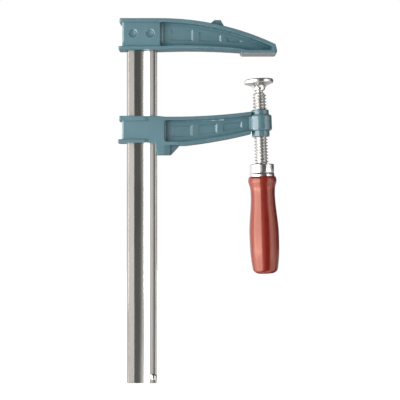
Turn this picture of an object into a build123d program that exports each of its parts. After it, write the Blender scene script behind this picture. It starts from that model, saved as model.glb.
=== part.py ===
from build123d import *
import math
import os

# Bar clamp with a fixed jaw, a sliding arm and a canted screw.
# Millimetres and degrees. The origin is the middle of the fixed jaw's clamping face, where the screw's
# axis meets it. +X points from the bar to the jaw's nose, +Z up along the bar, Y across the clamp.

# Bar: flat steel with a shallow groove rolled into both broad faces
bar_width = 35.0
bar_thickness = 8.0
bar_edge_round = 2.5
bar_groove_width = 17.8
bar_groove_depth = 1.8
bar_free_length = 381.8
bar_end_chamfer = 0.8
throat_depth = 117.5

# Fixed jaw: casting with a socket for the bar and an I-section arm
jaw_height = 40.7
jaw_back_wall = 4.9
jaw_front_wall = 3.9
jaw_socket_width = 21.0
jaw_width = 24.0
jaw_web = 8.0
jaw_top_flange = 4.4
jaw_bottom_flange = 3.7
jaw_back_lip_top = 2.8
jaw_back_lip_bottom = 4.4
jaw_nose_height = 10.7
jaw_underside_root = 4.8
jaw_underside_arch = 5.4
jaw_underside_front = 3.3
jaw_face_depth = 4.0
jaw_face_back = 20.5
jaw_nose_reach = 21.5
jaw_nose_draft = 1.8
jaw_nose_wall = 6.0
jaw_nose_round = 2.5
jaw_face_round = 2.5
jaw_plan_round = 3.0
jaw_block_round = 2.0
jaw_tip_flange = 2.4
jaw_floor_run = 7.0
jaw_root_radius = 5.5
jaw_pocket_tip_round = 1.6
jaw_underside_round = 2.0
bar_top_recess = 1.0

# Lug on the jaw's back
lug_reach = 47.2
lug_top_length = 7.4
lug_base_length = 18.0
lug_proud = 6.1
lug_rise_back = 4.6
lug_rise_front = 9.6
lug_width = 11.0

# Recessed panels cast into the webs
panel_depth = 1.2
panel_draft = 50.0
rib_width = 6.8
jaw_panel_setback = 11.9
jaw_panel_end_gap = 38.2
jaw_panel_shares = (1.0, 1.0, 0.7)
jaw_panel_rise = 7.7
jaw_panel_tip_height = 2.0
jaw_panel_margin = 5.5
arm_panel_setback = 8.7
arm_panel_end_gap = 10.4
arm_panel_shares = (1.05, 1.0, 1.0)
arm_panel_margin = 5.4

# Rivets: two through the jaw and bar, one domed stop near the bar's free end
rivet_diameter = 8.0
rivet_spacing = 20.0
rivet_level = 23.6
rivet_dimple_depth = 0.8
rivet_dimple_diameter = 9.8
rivet_dimple_draft = 45.0
rivet_dish = 0.9
stop_shank_diameter = 5.0
stop_head_diameter = 8.2
stop_head_height = 3.4
stop_from_end = 7.6

# Sliding arm: casting with a head round the bar, a heel, an I-section arm and a boss
arm_drop = 79.3
head_rise = 7.4
head_height = 31.0
head_back_wall = 4.9
head_front_wall = 8.6
head_width = 21.0
head_rim_proud = 1.5
head_rim_front = 5.0
head_rim_fade = 9.0
head_back_lip_top = 2.8
head_back_lip_bottom = 4.4
head_top_rim = 5.6
head_bottom_rim = 4.0
heel_drop = 13.6
heel_slant = 2.6
heel_foot_length = 15.4
heel_rise_length = 10.0
heel_foot_round = 2.0
heel_facet_length = 6.5
heel_facet_width = 17.4
heel_rib_width = 12.0
arm_root_width = 20.8
arm_tip_width = 18.5
arm_web = 8.0
arm_flange = 4.2
arm_shoulder_drop = 0.8
arm_shoulder_run = 2.6
arm_crown_run = 9.0
arm_end_gap = 1.0
arm_crown_radius = 700.0
arm_belly_start = 32.5
arm_belly_drop = 26.3
arm_belly_middle = 69.1
arm_belly_middle_drop = 21.1
arm_belly_tip_drop = 12.7
arm_hollow_tip_drop = 6.4
arm_root_round = 2.4
arm_corner_radius = 3.4
boss_diameter = 26.7
boss_height = 18.6
boss_round = 2.4
slot_clearance = 0.3

# Screw: canted so that the arm's flex brings it square under load
screw_cant = 2.0
screw_diameter = 16.0
screw_cone_height = 2.4
bush_diameter = 20.6
bush_height = 31.2
bush_above_boss = 5.8
bush_chamfer = 0.8
screw_start = 46.4
ferrule_start = 127.4

# Ball end and swivel pad
pad_gap = 28.8
pad_tilt = 1.5
pad_diameter = 33.8
pad_rim = 4.4
pad_edge_round = 1.4
pad_rim_flat = 1.8
pad_skirt_diameter = 17.4
pad_skirt_level = 7.6
hub_waist_diameter = 13.8
hub_waist_level = 10.2
hub_end_diameter = 11.8
hub_lip = 1.2
hub_height = 4.4
ball_diameter = 12.0
ball_below_pad = 8.5
neck_diameter = 8.4
pad_swing = 8.0

# Ferrule, tang and handle
ferrule_diameter = 28.0
ferrule_flare = 1.0
ferrule_wall = 1.2
ferrule_height = 14.3
ferrule_cap = 1.6
ferrule_groove_level = 9.9
ferrule_groove_depth = 0.45
ferrule_groove_slope = 1.6
ferrule_edge_round = 1.2
tang_diameter = 10.0
tang_length = 62.0
handle_length = 112.8
handle_rim_diameter = 33.0
handle_rim_level = 5.0
handle_neck_share = 0.36
handle_neck_level = 11.2
handle_waist_diameter = 28.1
handle_waist_level = 21.3
handle_belly_diameter = 34.3
handle_belly_level = 67.0
handle_tip_diameter = 29.2
handle_tip_slope = 0.2
handle_end_rise = 4.8
handle_end_inset = 6.5
pin_diameter = 3.0
pin_level = 8.2
pin_turn = 50.0
pin_crown = 0.4

# Fits
socket_fit = 0.1
rivet_fit = 0.05
bush_fit = 0.05
screw_fit = 0.05
ball_fit = 0.3
cast_edge_round = 0.8
cast_root_round = 1.4

# Places worked out from the sizes above
bar_middle = -(throat_depth + bar_width / 2)
bar_front = bar_middle + bar_width / 2
bar_back = bar_middle - bar_width / 2
groove_back = bar_middle - bar_groove_width / 2
groove_front = bar_middle + bar_groove_width / 2
groove_edge = bar_thickness / 2
stop_place = bar_front - (bar_width - bar_groove_width) / 4
cant = math.radians(screw_cant)
screw_up = Vector(-math.sin(cant), 0, math.cos(cant))


def axis_point(depth):
    """Point on the screw's axis, so far from the jaw's clamping face."""
    return screw_up * -depth


def screw_side(depth):
    """Plane of a turned profile on the screw: x is the radius, y runs up the axis."""
    return Plane(origin=axis_point(depth), x_dir=(math.cos(cant), 0, math.sin(cant)), z_dir=(0, -1, 0))


def screw_cross(depth):
    """Plane square to the screw's axis."""
    return Plane(origin=axis_point(depth), x_dir=(math.cos(cant), 0, math.sin(cant)), z_dir=screw_up)


def save(piece, name):
    """Label a finished piece and write it to its own file."""
    piece.label = name
    export_step(piece, f"parts/{name}.step")


def edges_on_side(shape, y, tolerance=1e-3):
    """Edges that lie wholly in the plane at this y."""
    found = []
    for edge in shape.edges():
        box = edge.bounding_box()
        if abs(box.min.Y - y) < tolerance and abs(box.max.Y - y) < tolerance:
            found.append(edge)
    return found


def rim_edges(shape, half_width):
    """Edges of both flat sides of a piece that is this far from the middle on each side."""
    return ShapeList(edges_on_side(shape, half_width) + edges_on_side(shape, -half_width))


def nearest_corner(sketch, x, y):
    """Corner of a sketch that lies nearest to x, y in its own plane."""
    return min(sketch.vertices(), key=lambda corner: math.hypot(corner.X - x, corner.Y - y))


def cap_arc(x, base, radius, height):
    """Arc from the rim of a dome to its crest on the axis at x; a negative height points it down."""
    dome_radius = (radius ** 2 + height ** 2) / (2 * abs(height))
    RadiusArc((x + radius, base), (x, base + height), math.copysign(dome_radius, -height))


def arc_rise(radius, run):
    """How far an arc that starts level has left the level after this run."""
    return radius - math.sqrt(radius ** 2 - run ** 2)


def panel_spans(start, end, shares):
    """Starts and ends of the panels between two places, a rib apart, by their shares of the length."""
    unit = (end - start - rib_width * (len(shares) - 1)) / sum(shares)
    spans = []
    for share in shares:
        spans.append((start, start + unit * share))
        start += unit * share + rib_width
    return spans


os.makedirs("parts", exist_ok=True)

# Bar
with BuildPart() as bar:
    with BuildSketch(Plane.XY.offset(-bar_free_length)):
        with Locations((bar_middle, 0)):
            RectangleRounded(bar_width, bar_thickness, bar_edge_round)
    extrude(amount=bar_free_length + jaw_height - bar_top_recess)
    chamfer(bar.faces().sort_by(Axis.Z)[0].outer_wire().edges(), bar_end_chamfer)
    # Rolled groove: a shallow arc between the two lands, the same on both sides
    with BuildSketch(Plane.XY.offset(-bar_free_length)):
        with BuildLine():
            Line((groove_back, groove_edge), (groove_front, groove_edge))
            ThreePointArc(
                (groove_front, groove_edge),
                (bar_middle, groove_edge - bar_groove_depth),
                (groove_back, groove_edge),
            )
        make_face()
        mirror(about=Plane.XZ)
    extrude(amount=bar_free_length + jaw_height, mode=Mode.SUBTRACT)
    rivet_places = [(bar_middle + side * rivet_spacing / 2, rivet_level) for side in (-1, 1)]
    with BuildSketch(Plane.XZ):
        with Locations(*rivet_places):
            Circle(rivet_diameter / 2 + rivet_fit)
        with Locations((stop_place, stop_from_end - bar_free_length)):
            Circle(stop_shank_diameter / 2 + rivet_fit)
    extrude(amount=bar_thickness, both=True, mode=Mode.SUBTRACT)
save(bar.part, "bar")

# Fixed jaw
socket_front = bar_front + jaw_front_wall
socket_back = bar_back - jaw_back_wall
jaw_back_top = socket_back - jaw_back_lip_top
jaw_back_bottom = socket_back - jaw_back_lip_bottom
nose_top = jaw_nose_reach - jaw_nose_draft
face_back = -jaw_face_back
crown_run = nose_top - socket_front
crown_fall = jaw_height - jaw_nose_height
jaw_crown_radius = (crown_run ** 2 + crown_fall ** 2) / (2 * crown_fall)
crown_at_lug = jaw_height - arc_rise(jaw_crown_radius, -lug_reach - socket_front)
lug_top = crown_at_lug + lug_proud
lug_root = crown_at_lug - jaw_top_flange
arch_middle = (socket_front + face_back) / 2
inner_crown = jaw_crown_radius - jaw_top_flange
ceiling = jaw_height - jaw_top_flange
floor_root = jaw_underside_root + jaw_bottom_flange
block_top = jaw_face_depth + jaw_underside_round
nose_slope = jaw_nose_draft / (jaw_nose_height - jaw_face_depth)
block_nose = jaw_nose_reach - nose_slope * jaw_underside_round
jaw_under_limit = (jaw_underside_root + floor_root) / 2
pocket_end = jaw_nose_reach - jaw_nose_wall
pocket_end_top = ceiling - arc_rise(inner_crown, pocket_end - socket_front)

jaw_panel_start = socket_front + jaw_panel_setback
jaw_panel_end = nose_top - jaw_panel_end_gap
jaw_panels = panel_spans(jaw_panel_start, jaw_panel_end, jaw_panel_shares)


def jaw_panel_ceiling(x):
    """Upper edge of the jaw's panels, a margin under the crown flange."""
    return ceiling - arc_rise(inner_crown, x - socket_front) - jaw_panel_margin


def jaw_panel_floor(x):
    """Lower edge of the jaw's panels, a straight line to the low end of the last one."""
    root = floor_root + jaw_panel_rise
    tip = jaw_panel_ceiling(jaw_panel_end) - jaw_panel_tip_height
    return root + (tip - root) * (x - jaw_panel_start) / (jaw_panel_end - jaw_panel_start)


# Hollow of the jaw's I-section on the near side; it is mirrored for the far side
with BuildPart() as jaw_pocket:
    with BuildSketch(Plane.XZ) as pocket_side:
        with BuildLine():
            RadiusArc((socket_front, ceiling), (pocket_end, pocket_end_top), inner_crown)
            Line((pocket_end, pocket_end_top), (pocket_end, jaw_face_depth))
            Line((pocket_end, jaw_face_depth), (face_back + jaw_floor_run, jaw_face_depth))
            Line(
                (face_back + jaw_floor_run, jaw_face_depth),
                (face_back, jaw_underside_front + jaw_tip_flange),
            )
            ThreePointArc(
                (face_back, jaw_underside_front + jaw_tip_flange),
                (arch_middle, jaw_underside_arch + jaw_bottom_flange),
                (socket_front, floor_root),
            )
            Line((socket_front, floor_root), (socket_front, ceiling))
        make_face()
        end_corners = [nearest_corner(pocket_side, pocket_end, z) for z in (pocket_end_top, jaw_face_depth)]
        fillet(end_corners, jaw_pocket_tip_round)
    extrude(amount=jaw_width)
    # Plan of the hollow: the socket's wall runs into the web in a large fillet
    with BuildSketch(Plane.XY) as pocket_plan:
        with BuildLine():
            Polyline(
                (socket_front, -2 * jaw_width),
                (socket_front, -jaw_web / 2),
                (jaw_nose_reach, -jaw_web / 2),
                (jaw_nose_reach, -2 * jaw_width),
                close=True,
            )
        make_face()
        fillet(nearest_corner(pocket_plan, socket_front, -jaw_web / 2), jaw_root_radius)
    extrude(amount=jaw_height, mode=Mode.INTERSECT)
    fillet(edges_on_side(jaw_pocket, -jaw_web / 2), cast_root_round)

with BuildPart() as fixed_jaw:
    # Side outline at full width: crown arc, nose, clamping face and arched underside
    with BuildSketch(Plane.XZ) as jaw_side:
        with BuildLine():
            Line((jaw_back_top, jaw_height), (socket_front, jaw_height))
            RadiusArc((socket_front, jaw_height), (nose_top, jaw_nose_height), jaw_crown_radius)
            Line((nose_top, jaw_nose_height), (jaw_nose_reach, jaw_face_depth))
            Line((jaw_nose_reach, jaw_face_depth), (jaw_nose_reach, jaw_underside_front))
            Line((jaw_nose_reach, jaw_underside_front), (face_back, jaw_underside_front))
            ThreePointArc(
                (face_back, jaw_underside_front),
                (arch_middle, jaw_underside_arch),
                (socket_front, jaw_underside_root),
            )
            Line((socket_front, jaw_underside_root), (jaw_back_bottom, jaw_underside_root))
            Line((jaw_back_bottom, jaw_underside_root), (jaw_back_top, jaw_height))
        make_face()
        fillet(nearest_corner(jaw_side, nose_top, jaw_nose_height), jaw_nose_round)
    extrude(amount=jaw_width / 2, both=True)
    rim = rim_edges(fixed_jaw, jaw_width / 2)
    fillet(rim.filter_by(lambda edge: edge.bounding_box().max.Z < jaw_under_limit), jaw_underside_round)
    rim = rim_edges(fixed_jaw, jaw_width / 2)
    fillet(rim.filter_by(lambda edge: edge.bounding_box().max.Z > jaw_under_limit), cast_edge_round)
    # Block of the clamping face
    with BuildSketch(Plane.XZ) as face_side:
        with BuildLine():
            Polyline(
                (face_back, 0),
                (jaw_nose_reach, 0),
                (jaw_nose_reach, jaw_face_depth),
                (block_nose, block_top),
                (face_back, block_top),
                close=True,
            )
        make_face()
        fillet(nearest_corner(face_side, jaw_nose_reach, 0), jaw_nose_round)
        fillet(nearest_corner(face_side, face_back, 0), jaw_face_round)
    extrude(amount=jaw_width / 2, both=True)
    # Plan outline: nose and back corners rounded
    with BuildSketch(Plane.XY):
        with Locations(((jaw_nose_reach + jaw_back_bottom) / 2, 0)):
            RectangleRounded(jaw_nose_reach - jaw_back_bottom, jaw_width, jaw_plan_round)
    extrude(amount=jaw_height, mode=Mode.INTERSECT)
    # Lug on the crown
    with BuildSketch(Plane.XZ):
        with BuildLine():
            Polyline(
                (-lug_reach - lug_base_length / 2, lug_root),
                (-lug_reach - lug_base_length / 2, lug_top - lug_rise_back),
                (-lug_reach - lug_top_length / 2, lug_top),
                (-lug_reach + lug_top_length / 2, lug_top),
                (-lug_reach + lug_base_length / 2, lug_top - lug_rise_front),
                (-lug_reach + lug_base_length / 2, lug_root),
                close=True,
            )
        make_face()
    extrude(amount=lug_width / 2, both=True)
    # I-section hollows
    add(jaw_pocket.part, mode=Mode.SUBTRACT)
    mirror(jaw_pocket.part, about=Plane.XZ, mode=Mode.SUBTRACT)
    # Socket block stands back from the flanges
    with BuildSketch(Plane.XY.offset(floor_root)):
        with Locations(((jaw_back_bottom + socket_front) / 2, 0)):
            Rectangle(socket_front - jaw_back_bottom, 2 * jaw_width)
        with Locations(((socket_back + nose_top) / 2, 0)):
            RectangleRounded(nose_top - socket_back, jaw_socket_width, jaw_block_round, mode=Mode.SUBTRACT)
    extrude(amount=ceiling - floor_root, mode=Mode.SUBTRACT)
    # Recessed panels between ribs in both faces of the web
    for side in (1, -1):
        for start, end in jaw_panels:
            with BuildSketch(Plane.XZ.offset(side * jaw_web / 2)):
                with BuildLine():
                    Polyline(
                        (start, jaw_panel_floor(start)),
                        (end, jaw_panel_floor(end)),
                        (end, jaw_panel_ceiling(end)),
                        (start, jaw_panel_ceiling(start)),
                        close=True,
                    )
                make_face()
            extrude(amount=-side * panel_depth, taper=panel_draft, mode=Mode.SUBTRACT)
    # Through socket for the bar, rivet holes and the dimples round them
    with BuildSketch(Plane.XY):
        with Locations((bar_middle, 0)):
            Rectangle(bar_width + 2 * socket_fit, bar_thickness + 2 * socket_fit)
    extrude(amount=jaw_height, mode=Mode.SUBTRACT)
    for place in rivet_places:
        with BuildSketch(Plane.XZ):
            with Locations(place):
                Circle(rivet_diameter / 2 + rivet_fit)
        extrude(amount=jaw_width, both=True, mode=Mode.SUBTRACT)
        for side in (1, -1):
            with BuildSketch(Plane.XZ.offset(side * jaw_socket_width / 2)):
                with Locations(place):
                    Circle(rivet_dimple_diameter / 2)
            extrude(amount=-side * rivet_dimple_depth, taper=rivet_dimple_draft, mode=Mode.SUBTRACT)
save(fixed_jaw.part, "fixed_jaw")

# Jaw rivets: headless, their ends struck to a shallow dish inside the dimples
rivet_radius = rivet_diameter / 2
rivet_end = jaw_socket_width / 2 - rivet_dimple_depth
for number, (x, z) in enumerate(rivet_places, start=1):
    with BuildPart() as jaw_rivet:
        with BuildSketch(Plane.XY.offset(z)):
            with BuildLine():
                Line((x, rivet_dish - rivet_end), (x, rivet_end - rivet_dish))
                cap_arc(x, rivet_end, rivet_radius, -rivet_dish)
                Line((x + rivet_radius, rivet_end), (x + rivet_radius, -rivet_end))
                cap_arc(x, -rivet_end, rivet_radius, rivet_dish)
            make_face()
        revolve(axis=Axis((x, 0, z), (0, 1, 0)))
    save(jaw_rivet.part, f"jaw_rivet_{number}")

# Domed stop near the free end: it keeps the arm on the bar
stop_level = stop_from_end - bar_free_length
with BuildPart() as end_stop_rivet:
    with BuildSketch(Plane.XZ):
        with Locations((stop_place, stop_level)):
            Circle(stop_shank_diameter / 2)
    extrude(amount=bar_thickness / 2, both=True)
    for side in (1, -1):
        seat = side * bar_thickness / 2
        crest = side * stop_head_height
        with BuildSketch(Plane.XY.offset(stop_level)):
            with BuildLine():
                Line((stop_place, seat + crest), (stop_place, seat))
                Line((stop_place, seat), (stop_place + stop_head_diameter / 2, seat))
                cap_arc(stop_place, seat, stop_head_diameter / 2, crest)
            make_face()
        revolve(axis=Axis((stop_place, 0, stop_level), (0, 1, 0)))
save(end_stop_rivet.part, "end_stop_rivet")

# Sliding arm
arm_level = -arm_drop
head_top = arm_level + head_rise
head_bottom = head_top - head_height
heel_bottom = head_bottom - heel_drop
slot_front = bar_front + slot_clearance
slot_back = bar_back - slot_clearance
head_back = slot_back - head_back_wall
head_front = slot_front + head_front_wall
heel_front = slot_front + heel_foot_length
shoulder = slot_front + arm_shoulder_run
rim_front = slot_front - head_rim_front
crown_start = head_front + arm_crown_run
crown_level = head_top - arm_shoulder_drop
boss_x = axis_point(arm_drop).X
boss_z = axis_point(arm_drop).Z
arm_end = boss_x - bush_diameter / 2 - arm_end_gap
arm_end_top = crown_level + arc_rise(arm_crown_radius, arm_end - crown_start)
belly_start = slot_front + arm_belly_start
belly_middle = slot_front + arm_belly_middle
heel_rise_end = heel_front + heel_rise_length
arm_ceiling = crown_level - arm_flange
hollow_end_top = arm_ceiling + arc_rise(arm_crown_radius + arm_flange, boss_x - crown_start)
hollow_end_floor = arm_level - arm_hollow_tip_drop
arm_half_root = arm_root_width / 2
arm_half_tip = arm_tip_width / 2
heel_facet_front = head_front + heel_facet_length
arm_floor = arm_level - arm_belly_drop + arm_flange

arm_panels = panel_spans(head_front + arm_panel_setback, arm_end - arm_panel_end_gap, arm_panel_shares)

# Hollow of the arm's I-section on the near side; it is mirrored for the far side
with BuildPart() as arm_pocket:
    with BuildSketch(Plane.XZ.offset(arm_web / 2)) as hollow_side:
        with BuildLine():
            Line((head_front, arm_ceiling), (crown_start, arm_ceiling))
            RadiusArc((crown_start, arm_ceiling), (boss_x, hollow_end_top), -arm_crown_radius - arm_flange)
            Line((boss_x, hollow_end_top), (boss_x, hollow_end_floor))
            ThreePointArc(
                (boss_x, hollow_end_floor),
                (belly_middle, arm_level - arm_belly_middle_drop + arm_flange),
                (belly_start, arm_floor),
            )
            Line((belly_start, arm_floor), (head_front, arm_floor))
            Line((head_front, arm_floor), (head_front, arm_ceiling))
        make_face()
        hollow_corners = [nearest_corner(hollow_side, head_front, z) for z in (arm_ceiling, arm_floor)]
        fillet(hollow_corners, arm_corner_radius)
    extrude(amount=arm_root_width)
    fillet(edges_on_side(arm_pocket, -arm_web / 2), arm_root_round)
arm_panel_area = offset(hollow_side.sketch_local, -arm_panel_margin, kind=Kind.INTERSECTION)

# Head of the arm: block round the bar
head_outline = [
    (head_back - head_back_lip_top, head_top),
    (shoulder, head_top),
    (head_front, crown_level),
    (head_front, head_bottom),
    (head_back - head_back_lip_bottom, head_bottom),
]
with BuildPart() as arm_head:
    with BuildSketch(Plane.XY.offset(head_bottom)):
        with Locations(((head_back + belly_start) / 2, 0)):
            RectangleRounded(belly_start - head_back, head_width, jaw_block_round)
    extrude(amount=head_height)
    with BuildSketch(Plane.XZ):
        with BuildLine():
            Polyline(*head_outline, close=True)
        make_face()
    extrude(amount=head_width, both=True, mode=Mode.INTERSECT)
    block_rim = rim_edges(arm_head, head_width / 2)
    fillet(block_rim.filter_by(lambda edge: edge.bounding_box().size.X > arm_shoulder_run), cast_edge_round)

# Rims of the head above and below, which fade into its sides towards the arm
with BuildPart() as head_rims:
    with BuildSketch(Plane.XZ):
        with BuildLine():
            Polyline(*head_outline, close=True)
        make_face()
    extrude(amount=head_width / 2 + head_rim_proud, both=True)
    fillet(rim_edges(head_rims, head_width / 2 + head_rim_proud), cast_edge_round)
    with BuildSketch(Plane.XY.offset(head_bottom)):
        with BuildLine():
            Polyline(
                (head_back - head_back_lip_bottom, head_width / 2 + head_rim_proud),
                (rim_front - head_rim_fade, head_width / 2 + head_rim_proud),
                (rim_front, head_width / 2 - head_rim_proud),
                (rim_front, -head_width / 2 + head_rim_proud),
                (rim_front - head_rim_fade, -head_width / 2 - head_rim_proud),
                (head_back - head_back_lip_bottom, -head_width / 2 - head_rim_proud),
                close=True,
            )
        make_face()
    extrude(amount=head_height, mode=Mode.INTERSECT)
    with BuildSketch(Plane.XY.offset(head_bottom + head_bottom_rim)):
        with Locations((bar_middle, 0)):
            Rectangle(2 * bar_width, 2 * head_width)
    extrude(amount=head_height - head_top_rim - head_bottom_rim, mode=Mode.SUBTRACT)

with BuildPart() as sliding_arm:
    # Arm at flange width, tapering in plan from the head to the boss
    with BuildSketch(Plane.XZ):
        with BuildLine():
            Line((slot_front, crown_level), (crown_start, crown_level))
            RadiusArc((crown_start, crown_level), (arm_end, arm_end_top), -arm_crown_radius)
            Line((arm_end, arm_end_top), (arm_end, arm_level - arm_belly_tip_drop))
            ThreePointArc(
                (arm_end, arm_level - arm_belly_tip_drop),
                (belly_middle, arm_level - arm_belly_middle_drop),
                (belly_start, arm_level - arm_belly_drop),
            )
            Line((belly_start, arm_level - arm_belly_drop), (slot_front, arm_level - arm_belly_drop))
            Line((slot_front, arm_level - arm_belly_drop), (slot_front, crown_level))
        make_face()
    extrude(amount=arm_root_width, both=True)
    with BuildSketch(Plane.XY.offset(heel_bottom)):
        with BuildLine():
            Polyline(
                (slot_front, -arm_half_root),
                (arm_end, -arm_half_tip),
                (arm_end, arm_half_tip),
                (slot_front, arm_half_root),
                close=True,
            )
        make_face()
    extrude(amount=arm_drop, mode=Mode.INTERSECT)
    flange_edges = sliding_arm.edges().filter_by(
        lambda edge: edge.length > arm_web and edge.center().X > shoulder and abs(edge.center().Y) > arm_web
    )
    fillet(flange_edges, cast_edge_round)
    add(arm_pocket.part, mode=Mode.SUBTRACT)
    mirror(arm_pocket.part, about=Plane.XZ, mode=Mode.SUBTRACT)
    # Recessed panels follow the outline of the hollow
    for side in (1, -1):
        for start, end in arm_panels:
            with BuildSketch(Plane.XZ.offset(side * arm_web / 2)):
                add(arm_panel_area)
                with Locations(((start + end) / 2, arm_level)):
                    Rectangle(end - start, arm_drop, mode=Mode.INTERSECT)
            extrude(amount=-side * panel_depth, taper=panel_draft, mode=Mode.SUBTRACT)
    # Web reaches into the boss
    with BuildSketch(Plane.XZ):
        with BuildLine():
            Polyline(
                (arm_end, boss_z + boss_height / 2),
                (boss_x, boss_z + boss_height / 2),
                (boss_x, boss_z - boss_height / 2),
                (arm_end, boss_z - boss_height / 2),
                close=True,
            )
        make_face()
    extrude(amount=arm_web / 2, both=True)
    add(arm_head.part)
    add(head_rims.part)
    # Heel: cheeks that run down to a foot behind the bar's front edge
    with BuildSketch(Plane.XZ) as heel_side:
        with BuildLine():
            Polyline(
                (slot_front - heel_slant, head_bottom),
                (slot_front, heel_bottom),
                (heel_front, heel_bottom),
                (heel_rise_end, arm_level - arm_belly_drop),
                (heel_rise_end, arm_floor),
                (head_front, arm_floor),
                (head_front, head_bottom + head_bottom_rim),
                (slot_front - heel_slant, head_bottom + head_bottom_rim),
                close=True,
            )
        make_face()
        fillet(nearest_corner(heel_side, heel_front, heel_bottom), heel_foot_round)
    extrude(amount=head_width / 2, both=True)
    with BuildSketch(Plane.XY.offset(heel_bottom)):
        with BuildLine():
            Polyline(
                (head_front, -head_width),
                (heel_rise_end, -head_width),
                (heel_rise_end, -heel_rib_width / 2),
                (heel_facet_front, -heel_rib_width / 2),
                (heel_facet_front, -heel_facet_width / 2),
                (head_front, -head_width / 2),
                close=True,
            )
            mirror(about=Plane.XZ)
        make_face()
    extrude(amount=arm_level - arm_belly_drop - heel_bottom, mode=Mode.SUBTRACT)
    # Boss on the screw's axis
    with BuildSketch(screw_side(arm_drop)) as boss_half:
        with Locations((boss_diameter / 4, 0)):
            Rectangle(boss_diameter / 2, boss_height)
        fillet(boss_half.vertices().sort_by(Axis.X)[-2:], boss_round)
    revolve(axis=Axis(axis_point(arm_drop), screw_up))
    # Slot for the bar and bore for the bush
    with BuildSketch(Plane.XY.offset(heel_bottom)):
        with Locations((bar_middle, 0)):
            RectangleRounded(
                bar_width + 2 * slot_clearance,
                bar_thickness + 2 * slot_clearance,
                bar_edge_round,
            )
    extrude(amount=arm_drop, mode=Mode.SUBTRACT)
    with BuildSketch(screw_cross(arm_drop)):
        Circle(bush_diameter / 2 + bush_fit)
    extrude(amount=bush_height, both=True, mode=Mode.SUBTRACT)
save(sliding_arm.part, "sliding_arm")

# Threaded bush through the boss
bush_start = arm_drop - boss_height / 2 - bush_above_boss
screw_radius = screw_diameter / 2
bush_bore_radius = screw_radius + screw_fit
bush_wall = bush_diameter / 2 - bush_bore_radius
with BuildPart() as spindle_bush:
    with BuildSketch(screw_side(bush_start + bush_height)) as bush_half:
        with Locations((bush_bore_radius + bush_wall / 2, bush_height / 2)):
            Rectangle(bush_wall, bush_height)
        chamfer(bush_half.vertices().sort_by(Axis.X)[-2:], bush_chamfer)
    revolve(axis=Axis(axis_point(bush_start), screw_up))
save(spindle_bush.part, "spindle_bush")

# Ball end of the screw, with the neck that joins it to the cone
ball_depth = pad_gap + ball_below_pad
ball_radius = ball_diameter / 2
neck_radius = neck_diameter / 2
cone_start = screw_start - screw_cone_height
neck_meets_ball = math.sqrt(ball_radius ** 2 - neck_radius ** 2)
with BuildPart() as spindle_ball:
    with BuildSketch(screw_side(ball_depth)):
        with BuildLine():
            ThreePointArc((0, ball_radius), (ball_radius, 0), (neck_radius, -neck_meets_ball))
            Polyline(
                (neck_radius, -neck_meets_ball),
                (neck_radius, ball_depth - cone_start),
                (0, ball_depth - cone_start),
                (0, ball_radius),
            )
        make_face()
    revolve(axis=Axis(axis_point(ball_depth), screw_up))
save(spindle_ball.part, "spindle_ball")

# Swivel pad: disc, underside cone and hub crimped round the ball
pad_lean = math.radians(screw_cant + pad_tilt)
pad_up = Vector(-math.sin(pad_lean), 0, math.cos(pad_lean))
pad_face_centre = axis_point(ball_depth) + pad_up * ball_below_pad
pad_across = Vector(math.cos(pad_lean), 0, math.sin(pad_lean))
pad_side = Plane(origin=pad_face_centre, x_dir=pad_across, z_dir=(0, -1, 0))
pad_radius = pad_diameter / 2
skirt_radius = pad_skirt_diameter / 2
hub_end_radius = hub_end_diameter / 2
socket_radius = ball_radius + ball_fit
swing = math.radians(pad_swing)
hub_end = ball_below_pad + hub_height
mouth_radius = neck_radius + hub_height * math.tan(swing) + ball_fit
mouth_level = math.sqrt(socket_radius ** 2 - mouth_radius ** 2)
with BuildPart() as swivel_pad:
    with BuildSketch(pad_side) as pad_half:
        with BuildLine():
            Polyline(
                (0, 0),
                (pad_radius, 0),
                (pad_radius, -pad_rim),
                (pad_radius - pad_rim_flat, -pad_rim),
                (skirt_radius, -pad_skirt_level),
                (hub_waist_diameter / 2, -hub_waist_level),
                (hub_waist_diameter / 2, -hub_end + hub_lip),
                (hub_end_radius, -hub_end),
                (mouth_radius, -hub_end),
                (mouth_radius, -ball_below_pad - mouth_level),
            )
            ThreePointArc(
                (mouth_radius, -ball_below_pad - mouth_level),
                (socket_radius, -ball_below_pad),
                (0, -ball_below_pad + socket_radius),
            )
            Line((0, -ball_below_pad + socket_radius), (0, 0))
        make_face()
        rim_corners = [nearest_corner(pad_half, pad_radius, level) for level in (0, -pad_rim)]
        fillet(rim_corners, pad_edge_round)
    revolve(axis=Axis(pad_face_centre, pad_up))
save(swivel_pad.part, "swivel_pad")

# Spindle: cone, screw and tang; the thread itself is left plain at its outside diameter
pin_depth = ferrule_start + pin_level
tang_radius = tang_diameter / 2
pin_way = screw_cross(pin_depth).x_dir.rotate(Axis(axis_point(pin_depth), screw_up), -(90 - pin_turn))
pin_plane = Plane(origin=axis_point(pin_depth), x_dir=screw_up, z_dir=pin_way)
with BuildPart() as spindle:
    with BuildSketch(screw_side(0)):
        with BuildLine():
            Polyline(
                (0, -cone_start),
                (neck_radius, -cone_start),
                (screw_radius, -screw_start),
                (screw_radius, -ferrule_start),
                (tang_radius, -ferrule_start),
                (tang_radius, -ferrule_start - tang_length),
                (0, -ferrule_start - tang_length),
                close=True,
            )
        make_face()
    revolve(axis=Axis(axis_point(0), screw_up))
    with BuildSketch(pin_plane):
        Circle(pin_diameter / 2 + rivet_fit)
    extrude(amount=ferrule_diameter, both=True, mode=Mode.SUBTRACT)
save(spindle.part, "spindle")

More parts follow.
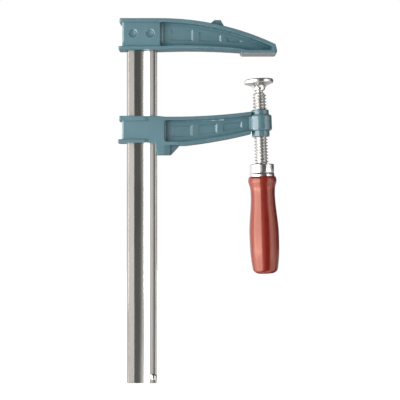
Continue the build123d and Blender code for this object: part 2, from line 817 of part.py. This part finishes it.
# Ferrule: cup with a rolled groove and a small flare
ferrule_radius = ferrule_diameter / 2
ferrule_end_radius = ferrule_radius + ferrule_flare / 2
cup_radius = ferrule_radius - ferrule_wall
groove_half = ferrule_groove_depth * ferrule_groove_slope
with BuildPart() as ferrule:
    with BuildSketch(screw_side(ferrule_start)) as ferrule_half:
        with BuildLine():
            Polyline(
                (tang_radius + rivet_fit, 0),
                (ferrule_radius, 0),
                (ferrule_radius, -ferrule_groove_level + groove_half),
                (ferrule_radius - ferrule_groove_depth, -ferrule_groove_level),
                (ferrule_radius, -ferrule_groove_level - groove_half),
                (ferrule_end_radius, -ferrule_height),
                (cup_radius, -ferrule_height),
                (cup_radius, -ferrule_cap),
                (tang_radius + rivet_fit, -ferrule_cap),
                close=True,
            )
        make_face()
        fillet(nearest_corner(ferrule_half, ferrule_radius, 0), ferrule_edge_round)
    revolve(axis=Axis(axis_point(ferrule_start), screw_up))
    with BuildSketch(pin_plane):
        Circle(pin_diameter / 2 + rivet_fit)
    extrude(amount=ferrule_diameter, both=True, mode=Mode.SUBTRACT)
save(ferrule.part, "ferrule")

# Handle: turned grip with a spigot inside the ferrule
spigot_radius = cup_radius - rivet_fit
handle_start = ferrule_start + ferrule_height
rim_radius = handle_rim_diameter / 2
waist_radius = handle_waist_diameter / 2
belly_radius = handle_belly_diameter / 2
tip_radius = handle_tip_diameter / 2
with BuildPart() as handle:
    with BuildSketch(screw_side(handle_start)):
        with BuildLine():
            Polyline(
                (0, -handle_length),
                (0, ferrule_height - ferrule_cap),
                (spigot_radius, ferrule_height - ferrule_cap),
                (spigot_radius, 0),
                (ferrule_end_radius, 0),
            )
            ThreePointArc(
                (ferrule_end_radius, 0),
                (
                    ferrule_end_radius + (rim_radius - ferrule_end_radius) * math.sin(math.pi / 4),
                    -handle_rim_level * (1 - math.cos(math.pi / 4)),
                ),
                (rim_radius, -handle_rim_level),
            )
            Spline(
                (rim_radius, -handle_rim_level),
                (waist_radius + (rim_radius - waist_radius) * handle_neck_share, -handle_neck_level),
                (waist_radius, -handle_waist_level),
                tangents=((0, -1), (0, -1)),
            )
            Spline(
                (waist_radius, -handle_waist_level),
                (belly_radius, -handle_belly_level),
                tangents=((0, -1), (0, -1)),
            )
            Spline(
                (belly_radius, -handle_belly_level),
                (tip_radius, -handle_length + handle_end_rise),
                tangents=((0, -1), (-handle_tip_slope, -1)),
            )
            Spline(
                (tip_radius, -handle_length + handle_end_rise),
                (tip_radius - handle_end_inset, -handle_length),
                tangents=((-handle_tip_slope, -1), (-1, 0)),
            )
            Line((tip_radius - handle_end_inset, -handle_length), (0, -handle_length))
        make_face()
    revolve(axis=Axis(axis_point(handle_start), screw_up))
    with BuildSketch(screw_cross(ferrule_start)):
        Circle(tang_radius + rivet_fit)
    extrude(amount=-tang_length - rivet_fit, mode=Mode.SUBTRACT)
    with BuildSketch(pin_plane):
        Circle(pin_diameter / 2 + rivet_fit)
    extrude(amount=ferrule_diameter, both=True, mode=Mode.SUBTRACT)
save(handle.part, "handle")

# Cross pin through ferrule, spigot and tang
with BuildPart() as handle_pin:
    with BuildSketch(pin_plane):
        Circle(pin_diameter / 2)
    extrude(amount=ferrule_radius + pin_crown, both=True)
    fillet(handle_pin.edges().filter_by(GeomType.CIRCLE), pin_crown)
save(handle_pin.part, "handle_pin")
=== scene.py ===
import math

import bmesh
import bpy
from mathutils import Matrix, Vector


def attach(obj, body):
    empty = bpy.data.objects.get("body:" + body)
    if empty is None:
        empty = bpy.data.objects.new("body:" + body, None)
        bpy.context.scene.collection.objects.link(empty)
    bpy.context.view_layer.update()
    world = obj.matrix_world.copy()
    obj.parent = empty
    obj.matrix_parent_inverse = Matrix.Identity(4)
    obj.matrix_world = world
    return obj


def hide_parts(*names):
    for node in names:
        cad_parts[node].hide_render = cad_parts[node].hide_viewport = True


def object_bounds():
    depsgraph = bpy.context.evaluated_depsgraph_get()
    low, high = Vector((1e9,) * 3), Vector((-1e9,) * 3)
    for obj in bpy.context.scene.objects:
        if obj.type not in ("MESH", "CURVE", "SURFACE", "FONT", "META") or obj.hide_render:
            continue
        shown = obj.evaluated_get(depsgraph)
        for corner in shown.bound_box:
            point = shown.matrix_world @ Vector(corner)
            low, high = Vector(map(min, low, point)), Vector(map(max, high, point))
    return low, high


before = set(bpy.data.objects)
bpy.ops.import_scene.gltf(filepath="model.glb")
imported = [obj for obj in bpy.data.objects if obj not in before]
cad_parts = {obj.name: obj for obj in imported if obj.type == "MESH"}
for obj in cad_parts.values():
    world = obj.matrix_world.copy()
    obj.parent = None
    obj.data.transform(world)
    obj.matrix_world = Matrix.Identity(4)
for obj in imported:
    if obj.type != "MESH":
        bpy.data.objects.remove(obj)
cad_low, cad_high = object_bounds()

MM = 0.001

# Sizes of the turned pieces, in millimetres, as in the CAD source. Depths run down the screw's axis
# from the fixed jaw's clamping face.
CANT = math.radians(2.0)
PAD_LEAN = math.radians(3.5)
BALL_DEPTH = 37.3
BALL_BELOW_PAD = 8.5
PITCH = 3.65
THREAD_RADIUS = 7.98
THREAD_ROOT = 6.15
THREAD_CREST = 0.95
THREAD_GROOVE = 0.85
THREAD_EDGE = 0.22
CONE_START = 44.0
CONE_HEIGHT = 2.4
NECK_RADIUS = 4.2
TANG_RADIUS = 5.0
TANG_LENGTH = 62.0
FERRULE_DEPTH = 127.4
FERRULE_HEIGHT = 14.3
HANDLE_DEPTH = FERRULE_DEPTH + FERRULE_HEIGHT
HANDLE_LENGTH = 112.8

# Places along X, in metres. The screw is at 0.
BAR_X = -0.135
PICTURE_X = -0.0675

screw_up = Vector((-math.sin(CANT), 0, math.cos(CANT)))
pad_up = Vector((-math.sin(PAD_LEAN), 0, math.cos(PAD_LEAN)))


def axis_point(depth):
    return screw_up * -depth * MM


def turn_frame(origin, up):
    """Matrix that takes a turned piece's own axis to its place: local Z runs up the axis."""
    across = Vector((up.z, 0, -up.x))
    deep = up.cross(across)
    return Matrix((
        (across.x, deep.x, up.x, origin.x),
        (across.y, deep.y, up.y, origin.y),
        (across.z, deep.z, up.z, origin.z),
        (0, 0, 0, 1),
    ))


# ---- Node helpers ----


class Nodes:
    """Short way to add and link shader nodes in one tree."""

    def __init__(self, tree):
        self.tree = tree

    def add(self, kind, **settings):
        node = self.tree.nodes.new(kind)
        for key, value in settings.items():
            setattr(node, key, value)
        return node

    def link(self, out, into):
        self.tree.links.new(out, into)

    def feed(self, socket, value):
        if isinstance(value, bpy.types.NodeSocket):
            self.link(value, socket)
        else:
            socket.default_value = value

    def math(self, operation, a, b=0.0):
        node = self.add("ShaderNodeMath", operation=operation)
        self.feed(node.inputs[0], a)
        self.feed(node.inputs[1], b)
        return node.outputs[0]

    def times(self, first, *others):
        for other in others:
            first = self.math("MULTIPLY", first, other)
        return first

    def largest(self, first, *others):
        for other in others:
            first = self.math("MAXIMUM", first, other)
        return first

    def step(self, value, low, high, to_low=0.0, to_high=1.0):
        """Smooth step from one value to another between low and high."""
        node = self.add("ShaderNodeMapRange", interpolation_type="SMOOTHSTEP", clamp=True)
        self.feed(node.inputs["Value"], value)
        node.inputs["From Min"].default_value = low
        node.inputs["From Max"].default_value = high
        node.inputs["To Min"].default_value = to_low
        node.inputs["To Max"].default_value = to_high
        return node.outputs["Result"]

    def spread(self, noise, to_low, to_high):
        """The usual range of a noise, spread between two values."""
        return self.step(noise, 0.3, 0.7, to_low, to_high)

    def place(self, kind="Object"):
        return self.add("ShaderNodeTexCoord").outputs[kind]

    def split(self, vector):
        node = self.add("ShaderNodeSeparateXYZ")
        self.link(vector, node.inputs[0])
        return node.outputs

    def length(self, vector):
        node = self.add("ShaderNodeVectorMath", operation="LENGTH")
        self.link(vector, node.inputs[0])
        return node.outputs["Value"]

    def round_from_front(self, x, y):
        """Angle seen from above: 0 towards the camera, positive to the right."""
        return self.math("ARCTAN2", x, self.math("MULTIPLY", y, -1.0))

    def sector(self, around, from_deg, to_deg, soft):
        """One where the angle lies between the two, with soft ends."""
        start = self.step(around, math.radians(from_deg - soft), math.radians(from_deg + soft))
        end = self.step(around, math.radians(to_deg - soft), math.radians(to_deg + soft), 1.0, 0.0)
        return self.times(start, end)

    def noise(self, scale, detail=3.0, stretch=(1, 1, 1)):
        mapping = self.add("ShaderNodeMapping")
        mapping.inputs["Scale"].default_value = stretch
        self.link(self.place(), mapping.inputs["Vector"])
        node = self.add("ShaderNodeTexNoise")
        node.inputs["Scale"].default_value = scale
        node.inputs["Detail"].default_value = detail
        node.inputs["Roughness"].default_value = 0.55
        self.link(mapping.outputs[0], node.inputs["Vector"])
        return node.outputs["Fac"]

    def mix_color(self, fac, a, b):
        node = self.add("ShaderNodeMix", data_type="RGBA")
        self.feed(node.inputs["Factor"], fac)
        self.feed(node.inputs["A"], a)
        self.feed(node.inputs["B"], b)
        return node.outputs["Result"]

    def mix_heights(self, a, b, share):
        """Two bump heights, the first with the given share."""
        return self.math("ADD", self.times(a, share), self.times(b, 1.0 - share))

    def bump(self, height, strength, distance, normal=None):
        node = self.add("ShaderNodeBump")
        node.inputs["Strength"].default_value = strength
        node.inputs["Distance"].default_value = distance
        self.link(height, node.inputs["Height"])
        if normal is not None:
            self.link(normal, node.inputs["Normal"])
        return node.outputs["Normal"]


def new_material(name):
    material = bpy.data.materials.new(name)
    material.use_nodes = True
    tree = material.node_tree
    return material, Nodes(tree), tree.nodes["Principled BSDF"]


# ---- Materials ----


def teal_paint(name, bare_below=None, coat=1.0, coat_rough=0.10, corner_coat=0.6):
    """Gloss enamel over an as-cast surface. Below a given height, in metres, the metal is ground bare."""
    material, n, shader = new_material(name)
    broad = n.noise(28.0, 2.0)
    fine = n.noise(420.0)
    grain = n.noise(1500.0, 2.0)
    colour = n.mix_color(n.spread(broad, 0.0, 1.0), (0.108, 0.222, 0.260, 1), (0.128, 0.250, 0.290, 1))
    # Painted shade: the colour darkens towards a dark teal where ambient occlusion finds corners and recesses
    corner = n.add("ShaderNodeAmbientOcclusion", samples=6)
    corner.inputs["Distance"].default_value = 0.014
    open_air = corner.outputs["AO"]
    colour = n.mix_color(n.step(open_air, 0.25, 0.95, 0.55, 0.0), colour, (0.030, 0.075, 0.092, 1))
    rough = n.spread(fine, 0.34, 0.44)
    gloss = n.step(open_air, 0.50, 0.85, coat * corner_coat, coat)
    if bare_below is not None:
        height = n.split(n.place())["Z"]
        bare = n.step(height, bare_below * 0.6, bare_below, 1.0, 0.0)
        marks = n.noise(500.0, stretch=(0.08, 1, 1))
        metal = n.mix_color(marks, (0.44, 0.41, 0.39, 1), (0.60, 0.57, 0.54, 1))
        colour = n.mix_color(bare, colour, metal)
        rough = n.math("ADD", rough, n.times(bare, 0.06))
        n.link(n.times(bare, 0.85), shader.inputs["Metallic"])
        # The work rubs the gloss off the lower flange
        rubbed = n.step(height, 0.0122, 0.0150, 0.10, 1.0)
        gloss = n.times(gloss, n.math("SUBTRACT", 1.0, bare), rubbed)
    n.link(colour, shader.inputs["Base Color"])
    n.link(rough, shader.inputs["Roughness"])
    shader.inputs["Specular IOR Level"].default_value = 0.12
    n.link(gloss, shader.inputs["Coat Weight"])
    shader.inputs["Coat Roughness"].default_value = coat_rough
    shader.inputs["Coat IOR"].default_value = 1.75
    # Softens the facets of the cast roundings
    bevel = n.add("ShaderNodeBevel", samples=6)
    bevel.inputs["Radius"].default_value = 0.0012
    soft = bevel.outputs["Normal"]
    n.link(n.bump(n.mix_heights(fine, grain, 0.7), 0.20, 0.0004, soft), shader.inputs["Normal"])
    n.link(soft, shader.inputs["Coat Normal"])
    return material


def bar_steel():
    """Cold rolled bright bar: fine streaks along its length, the lands duller than the groove."""
    material, n, shader = new_material("bar_steel")
    streaks = n.noise(900.0, stretch=(1, 1, 0.012))
    cloud = n.noise(60.0, stretch=(1, 1, 0.25))
    spots = n.noise(700.0, 2.0)
    side = n.math("ADD", n.split(n.place())["X"], -BAR_X)
    off_middle = n.math("ABSOLUTE", side)
    land = n.times(n.step(off_middle, 0.0086, 0.0092), n.step(off_middle, 0.0143, 0.0150, 1.0, 0.0))
    colour = n.mix_color(n.spread(cloud, 0.0, 1.0), (0.61, 0.585, 0.545, 1), (0.71, 0.69, 0.65, 1))
    colour = n.mix_color(n.times(land, 0.9), colour, (0.395, 0.380, 0.355, 1))
    # Painted shade: the rounded edges are darkened, standing in for the dark studio they mirror
    right_edge_shade = n.times(n.step(side, 0.0124, 0.0132, 0.0, 0.62), n.step(side, 0.0150, 0.0156, 1.0, 0.0))
    left_edge_shade = n.step(side, -0.0154, -0.0150, 0.9, 0.0)
    colour = n.mix_color(n.largest(right_edge_shade, left_edge_shade), colour, (0.09, 0.085, 0.08, 1))
    n.link(colour, shader.inputs["Base Color"])
    shader.inputs["Metallic"].default_value = 1.0
    groove_rough = n.step(streaks, 0.25, 0.75, 0.11, 0.17)
    n.link(n.math("ADD", groove_rough, n.times(land, 0.36)), shader.inputs["Roughness"])
    n.link(n.bump(n.mix_heights(streaks, spots, 0.7), 0.12, 0.0002), shader.inputs["Normal"])
    return material


def bright_steel(name, rough_low, rough_high, tone=(0.78, 0.77, 0.75)):
    """Bright plated steel with faint polishing marks."""
    material, n, shader = new_material(name)
    fine = n.noise(650.0)
    cloud = n.noise(90.0, 2.0)
    shade = tuple(c * 0.94 for c in tone)
    n.link(n.mix_color(n.spread(cloud, 0.0, 1.0), shade + (1,), tone + (1,)), shader.inputs["Base Color"])
    shader.inputs["Metallic"].default_value = 1.0
    n.link(n.spread(fine, rough_low, rough_high), shader.inputs["Roughness"])
    n.link(n.bump(fine, 0.05, 0.0002), shader.inputs["Normal"])
    return material


def red_wood():
    """Turned beech under red gloss lacquer: flecks and long grain show faintly through."""
    material, n, shader = new_material("red_wood")
    grain = n.noise(260.0, 4.0, stretch=(1, 1, 0.06))
    flecks = n.noise(1400.0, 2.0, stretch=(1, 1, 0.12))
    cloud = n.noise(40.0, 2.0)
    colour = n.mix_color(n.step(grain, 0.3, 0.72), (0.230, 0.012, 0.009, 1), (0.300, 0.022, 0.014, 1))
    colour = n.mix_color(n.step(cloud, 0.35, 0.75, 0.0, 0.5), colour, (0.285, 0.028, 0.017, 1))
    colour = n.mix_color(n.step(flecks, 0.60, 0.74, 0.0, 0.35), colour, (0.150, 0.008, 0.007, 1))
    n.link(colour, shader.inputs["Base Color"])
    n.link(n.spread(grain, 0.15, 0.21), shader.inputs["Roughness"])
    shader.inputs["IOR"].default_value = 1.9
    shader.inputs["Specular Tint"].default_value = (1.0, 0.62, 0.48, 1)
    n.link(n.bump(n.mix_heights(grain, flecks, 0.8), 0.10, 0.0003), shader.inputs["Normal"])
    return material


TEAL = teal_paint("teal_paint")
JAW_TEAL = teal_paint("teal_paint_bare_face", bare_below=0.0008, corner_coat=0.15)
RIVET_TEAL = teal_paint("teal_paint_rivets", coat=0.22, coat_rough=0.25)
BAR = bar_steel()
CHROME = bright_steel("bright_steel", 0.09, 0.14)
PAD_STEEL = bright_steel("pad_steel", 0.20, 0.28)
THREAD = bright_steel("spindle_steel", 0.34, 0.42, (0.56, 0.55, 0.53))
RED = red_wood()


# ---- Turned pieces ----


def rounded(points, radius, steps=5):
    """Polyline in the (radius, height) plane with its marked corners rounded.

    A point is (r, z), or (r, z, share of the radius) for a rounded corner.
    """
    out = []
    for i, point in enumerate(points):
        here = Vector(point[:2])
        corner = point[2] if len(point) > 2 else 0
        if corner == 0 or i == 0 or i == len(points) - 1:
            out.append(here)
            continue
        before = Vector(points[i - 1][:2]) - here
        after = Vector(points[i + 1][:2]) - here
        angle = before.angle(after)
        reach = min(corner * radius / math.tan(angle / 2), before.length * 0.49, after.length * 0.49)
        start = here + before.normalized() * reach
        end = here + after.normalized() * reach
        for k in range(steps + 1):
            t = k / steps
            out.append(start * (1 - t) ** 2 + here * 2 * t * (1 - t) + end * t ** 2)
    return out


def hermite(p0, m0, p1, m1, steps):
    """Smooth run between two profile points with given end slopes."""
    out = []
    for k in range(steps + 1):
        t = k / steps
        a = 2 * t ** 3 - 3 * t ** 2 + 1
        b = t ** 3 - 2 * t ** 2 + t
        c = -2 * t ** 3 + 3 * t ** 2
        d = t ** 3 - t ** 2
        out.append(tuple(a * p0[i] + b * m0[i] + c * p1[i] + d * m1[i] for i in (0, 1)))
    return out


def add_vert(bm, r, share, z):
    """Vertex at a share of the full turn, radius and height in millimetres."""
    a = 2 * math.pi * share
    return bm.verts.new((r * MM * math.cos(a), r * MM * math.sin(a), z * MM))


def add_ring(bm, r, z, segments):
    return [add_vert(bm, r, i / segments, z) for i in range(segments)]


def lathe(profile, segments=96):
    """Mesh of revolution from (radius, height) points in millimetres."""
    bm = bmesh.new()
    rings = [
        [bm.verts.new((0, 0, z * MM))] if r < 1e-6 else add_ring(bm, r, z, segments)
        for r, z in profile
    ]
    for low, high in zip(rings, rings[1:]):
        if len(low) == 1 and len(high) == 1:
            continue
        for i in range(segments):
            j = (i + 1) % segments
            corners = []
            for vert in (low[i % len(low)], low[j % len(low)], high[j % len(high)], high[i % len(high)]):
                if vert not in corners:
                    corners.append(vert)
            if len(corners) > 2:
                bm.faces.new(corners)
    return bm


def thread_mesh(segments=72):
    """The spindle: a sheared grid whose rows follow the helix, with a cone at its top and a tang below."""
    flank = (PITCH - THREAD_CREST - THREAD_GROOVE) / 2
    depth = THREAD_RADIUS - THREAD_ROOT
    # Points on a flank: share of its run and of its depth
    upper_run, upper_depth = 0.22, 0.16
    lower_run, lower_depth = 0.8, 0.86
    groove_start = THREAD_CREST / 2 + flank
    going_in = [
        (0.0, 0.0), (THREAD_EDGE, 0.0),
        (THREAD_EDGE + flank * upper_run, depth * upper_depth),
        (THREAD_EDGE + flank * lower_run, depth * lower_depth),
    ]
    coming_out = [(PITCH - along, down) for along, down in going_in[:0:-1]]
    shape = going_in + [(groove_start, depth), (groove_start + THREAD_GROOVE, depth)] + coming_out

    top = -CONE_START
    bottom = -FERRULE_DEPTH
    turns = int((top - bottom) / PITCH) + 4
    rows = []
    for turn in range(turns):
        for along, down in shape:
            rows.append((top + 2 * PITCH - turn * PITCH - along, THREAD_RADIUS - down))

    bm = bmesh.new()
    grid = []
    for row_z, row_r in rows:
        line = []
        for i in range(segments):
            share = i / segments
            z = min(max(row_z + share * PITCH - PITCH, bottom), top)
            cone_r = NECK_RADIUS + (THREAD_RADIUS - NECK_RADIUS) * min((top - z) / CONE_HEIGHT, 1)
            r = min(row_r, cone_r) if z > bottom else TANG_RADIUS
            line.append(add_vert(bm, r, share, z))
        grid.append(line)
    for upper, lower in zip(grid, grid[1:]):
        for i in range(segments - 1):
            bm.faces.new((upper[i], upper[i + 1], lower[i + 1], lower[i]))
    # A full turn on, the end of a row meets the start of the row one pitch above
    per_turn = len(shape)
    for k in range(per_turn, len(grid) - 1):
        bm.faces.new((grid[k][-1], grid[k - per_turn][0], grid[k - per_turn + 1][0], grid[k + 1][-1]))
    tang_end = add_ring(bm, TANG_RADIUS, bottom - TANG_LENGTH, segments)
    for i in range(segments):
        j = (i + 1) % segments
        bm.faces.new((grid[-1][i], grid[-1][j], tang_end[j], tang_end[i]))
    bm.faces.new(tang_end)
    bmesh.ops.remove_doubles(bm, verts=bm.verts, dist=1e-6)
    bmesh.ops.dissolve_degenerate(bm, edges=bm.edges, dist=1e-7)
    bmesh.ops.holes_fill(bm, edges=[e for e in bm.edges if e.is_boundary])
    return bm


def finish_mesh(bm, name, matrix, material, body, node, sharp=35.0):
    bmesh.ops.remove_doubles(bm, verts=bm.verts, dist=1e-6)
    bmesh.ops.recalc_face_normals(bm, faces=bm.faces)
    for face in bm.faces:
        face.smooth = True
    mesh = bpy.data.meshes.new(name)
    bm.to_mesh(mesh)
    bm.free()
    mesh.transform(matrix)
    mesh.set_sharp_from_angle(angle=math.radians(sharp))
    obj = bpy.data.objects.new(name, mesh)
    bpy.context.scene.collection.objects.link(obj)
    mesh.materials.append(material)
    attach(obj, body)
    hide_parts(node)


finish_mesh(
    thread_mesh(), "spindle_thread", turn_frame(Vector((0, 0, 0)), screw_up),
    THREAD, "screw", "spindle", 40.0,
)

# Handle, from its free end up: points of the profile, and the runs between them with their slopes
END_INSET = 6.5
TIP = (14.58, -HANDLE_LENGTH + 4.8)
BELLY = (17.1, -67.0)
WAIST = (14.05, -21.3)
SHOULDER = (14.93, -11.2)
COLLAR = (16.5, -5.0)
COLLAR_ROUND = 2.0
end_edge = (TIP[0] - END_INSET, -HANDLE_LENGTH)
handle_profile = [(0, -HANDLE_LENGTH), end_edge]
for run in (
    (end_edge, (9.0, 0.0), TIP, (1.4, 7.0), 8),
    (TIP, (7.2, 42.0), BELLY, (0.0, 44.0), 20),
    (BELLY, (0.0, 46.0), WAIST, (0.0, 46.0), 20),
    (WAIST, (0.0, 10.0), SHOULDER, (2.0, 9.0), 8),
    (SHOULDER, (1.4, 5.0), COLLAR, (0.0, 6.0), 8),
):
    handle_profile += hermite(*run)[1:]
for k in range(1, 9):
    a = k / 8 * math.pi / 2
    handle_profile.append((
        COLLAR[0] - COLLAR_ROUND + COLLAR_ROUND * math.cos(a),
        COLLAR[1] * (1 - math.sin(a)),
    ))
# The spigot in the ferrule and the bore for the tang
handle_profile += [(12.7, 0.0), (12.7, 12.6), (5.1, 12.6), (5.1, -47.0), (0, -47.0)]
finish_mesh(
    lathe(handle_profile, 128), "handle_grip", turn_frame(axis_point(HANDLE_DEPTH), screw_up),
    RED, "screw", "handle",
)

ferrule_profile = rounded(
    [
        (5.05, -1.6), (5.05, 0), (14.0, 0, 1), (14.0, -9.2), (13.55, -9.9, 0.3), (14.0, -10.6),
        (14.45, -14.2, 0.3), (14.1, -14.3), (12.8, -14.3), (12.8, -1.6), (5.05, -1.6),
    ],
    1.2,
)
finish_mesh(
    lathe(ferrule_profile), "ferrule_cup", turn_frame(axis_point(FERRULE_DEPTH), screw_up),
    CHROME, "screw", "ferrule",
)

pad_profile = rounded(
    [
        (0, 0), (16.9, 0, 1.2), (16.9, -4.4, 1), (15.3, -4.6, 0.6), (9.2, -7.2, 3), (7.0, -10.0, 2),
        (6.9, -11.5, 1), (5.9, -12.9, 0.4), (5.3, -12.9), (5.3, -11.4),
        (6.3, -8.5), (5.4, -5.3), (3.0, -3.0), (0, -2.2),
    ],
    1.4,
)
pad_middle = axis_point(BALL_DEPTH) + pad_up * BALL_BELOW_PAD * MM
finish_mesh(
    lathe(pad_profile), "pad_disc", turn_frame(pad_middle, pad_up),
    PAD_STEEL, "pad", "swivel_pad",
)

# ---- CAD pieces that are shown as they are, in new materials ----

for node, material in {
    "bar": BAR,
    "fixed_jaw": JAW_TEAL,
    "jaw_rivet_1": RIVET_TEAL,
    "jaw_rivet_2": RIVET_TEAL,
    "sliding_arm": TEAL,
    "spindle_bush": TEAL,
    "spindle_ball": THREAD,
    "end_stop_rivet": CHROME,
    "handle_pin": CHROME,
}.items():
    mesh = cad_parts[node].data
    mesh.materials.clear()
    mesh.materials.append(material)

# ---- Floor, world, lamps and camera ----

# The floor lies low enough for the handle to stay above it when the arm is at the bar's free end
FLOOR_SIZE = 8.0
FLOOR_DROP = 0.19
STUDIO_WHITE = (1, 0.995, 0.985, 1)

# Upright softboxes: angle round the screw, distance, height of the middle, width, height, and the
# brightness that a mirror shows
KEY = (-57.0, 0.78, -0.07, 1.01, 0.62, 4.1)
STRIP = (55.0, 0.80, -0.03, 0.42, 0.70, 1.6)
# How far the floor shows bright below them in a mirror. Farther off, floor and lamp would add up.
GLOW_REACH = 2.4


def floor_image(n, place):
    """Strength of what metal and lacquer mirror of the floor: bright below the lamps and the walls."""
    spot = n.split(place)
    x, y = spot["X"], spot["Y"]
    from_bar = n.math("ADD", x, PICTURE_X - BAR_X)
    bar_spot = n.add("ShaderNodeCombineXYZ")
    n.link(from_bar, bar_spot.inputs["X"])
    n.link(y, bar_spot.inputs["Y"])
    bar_distance = n.length(bar_spot.outputs[0])
    # Angles are taken round the bar's foot close to it, and round the screw farther off
    shifted = n.math("SUBTRACT", from_bar, n.step(bar_distance, 0.25, 0.6, 0.004, 0.12))
    around = n.round_from_front(shifted, y)

    def below(lamp):
        angle = math.radians(lamp[0])
        sideways = n.times(n.math("ADD", x, PICTURE_X), math.sin(angle))
        forward = n.times(y, -math.cos(angle))
        return n.step(n.math("ADD", sideways, forward), GLOW_REACH - 0.2, GLOW_REACH, 1.0, 0.0)

    # Close by it is bright all round, except in front of the bar, where the groove mirrors the dark
    reach = n.math("ADD", n.math("ABSOLUTE", from_bar), n.times(y, 0.5))
    dark_front = n.times(n.sector(around, -24, 40, 6), n.step(reach, 0.035, 0.060, 1.0, 0.0))
    foot = n.times(n.step(n.length(place), 0.15, 0.40, 0.6, 0.0), n.math("SUBTRACT", 1.0, dark_front))
    brightest = n.largest(
        n.times(n.sector(around, -106, -24, 6), n.step(bar_distance, 0.06, 0.35, 1.7, 3.9), below(KEY)),
        n.times(n.sector(around, 40, 96, 8), 1.3, below(STRIP)),
        n.times(n.sector(around, -60, -6, 13), 0.6),
        foot,
        n.step(y, 0.25, 0.80, 0.0, 0.42),
        n.sector(around, -165, -86, 4),
        n.times(n.sector(around, -112, -84, 5), 1.9),
        n.times(n.sector(around, 66, 98, 4), 0.9),
    )
    return n.math("ADD", brightest, 0.14)


def white_floor():
    """White paper that the camera sees brighten to the background's white; metal mirrors floor_image."""
    bpy.ops.mesh.primitive_plane_add(size=FLOOR_SIZE, location=(PICTURE_X, 0.0, cad_low.z - FLOOR_DROP))
    floor = bpy.context.active_object
    floor.name = "floor"
    material, n, _ = new_material("floor_white")
    n.tree.nodes.clear()
    path = n.add("ShaderNodeLightPath")
    place = n.place()
    paper = n.add("ShaderNodeBsdfDiffuse")
    paper.inputs["Color"].default_value = (0.86, 0.86, 0.86, 1)
    glow = n.add("ShaderNodeEmission")
    glow.inputs["Color"].default_value = (1, 1, 1, 1)
    far_white = n.step(n.length(place), 0.35, 1.2, 0.66, 1.0)
    n.link(n.times(path.outputs["Is Camera Ray"], far_white), glow.inputs["Strength"])
    seen = n.add("ShaderNodeAddShader")
    n.link(paper.outputs[0], seen.inputs[0])
    n.link(glow.outputs[0], seen.inputs[1])
    image = n.add("ShaderNodeEmission")
    image.inputs["Color"].default_value = STUDIO_WHITE
    n.link(floor_image(n, place), image.inputs["Strength"])
    choose = n.add("ShaderNodeMixShader")
    n.link(n.largest(path.outputs["Is Glossy Ray"], path.outputs["Is Transmission Ray"]), choose.inputs["Fac"])
    n.link(seen.outputs[0], choose.inputs[1])
    n.link(image.outputs[0], choose.inputs[2])
    n.link(choose.outputs[0], n.add("ShaderNodeOutputMaterial").inputs["Surface"])
    floor.data.materials.append(material)


def studio_world():
    """Dim studio with soft white walls. The camera itself sees plain white."""
    world = bpy.data.worlds.new("studio")
    bpy.context.scene.world = world
    world.use_nodes = True
    world.node_tree.nodes.clear()
    n = Nodes(world.node_tree)
    way = n.split(n.place("Generated"))
    around = n.round_from_front(way["X"], way["Y"])
    rise = n.math("ARCSINE", way["Z"])
    light = 0.115
    # Walls at the left, a brighter strip in them, a faint one left of the camera, and one at the right
    for from_deg, to_deg, top_deg, soft, strength in (
        (-165, -86, 26, 5, 1.0),
        (-110, -90, 26, 5, 1.0),
        (-24, -6, 26, 13, 0.6),
        (66, 98, 20, 5, 0.8),
    ):
        wall = n.times(n.sector(around, from_deg, to_deg, soft), n.sector(rise, -30, top_deg, 7))
        light = n.math("ADD", n.times(wall, strength), light)
    shade = n.add("ShaderNodeBackground")
    shade.inputs["Color"].default_value = STUDIO_WHITE
    n.link(light, shade.inputs["Strength"])
    plain = n.add("ShaderNodeBackground")
    plain.inputs["Color"].default_value = (1, 1, 1, 1)
    plain.inputs["Strength"].default_value = 1.0
    choose = n.add("ShaderNodeMixShader")
    n.link(n.add("ShaderNodeLightPath").outputs["Is Camera Ray"], choose.inputs["Fac"])
    n.link(shade.outputs[0], choose.inputs[1])
    n.link(plain.outputs[0], choose.inputs[2])
    n.link(choose.outputs[0], n.add("ShaderNodeOutputWorld").inputs["Surface"])


def softbox(name, side_deg, distance, middle, width, height, brightness):
    lamp = bpy.data.lights.new(name, "AREA")
    lamp.shape = "RECTANGLE"
    lamp.size = width
    lamp.size_y = height
    lamp.energy = brightness * math.pi * width * height
    holder = bpy.data.objects.new(name, lamp)
    angle = math.radians(side_deg)
    holder.location = (distance * math.sin(angle), -distance * math.cos(angle), middle)
    inwards = Vector((-holder.location.x, -holder.location.y, 0))
    holder.rotation_euler = inwards.to_track_quat("-Z", "Y").to_euler()
    bpy.context.scene.collection.objects.link(holder)


def photo_camera(distance=1.030, field_width=0.466, height=-0.1689, sensor=36.0):
    """Level camera straight in front, field width in metres at the clamp's middle plane."""
    camera = bpy.data.cameras.new("camera")
    camera.sensor_width = sensor
    camera.lens = sensor * distance / field_width
    holder = bpy.data.objects.new("camera", camera)
    holder.location = (PICTURE_X, -distance, height)
    holder.rotation_euler = (math.radians(90), 0, 0)
    bpy.context.scene.collection.objects.link(holder)
    bpy.context.scene.camera = holder


white_floor()
studio_world()
softbox("key_left", *KEY)
softbox("strip_right", *STRIP)
photo_camera()
bpy.context.scene.view_settings.view_transform = "Standard"
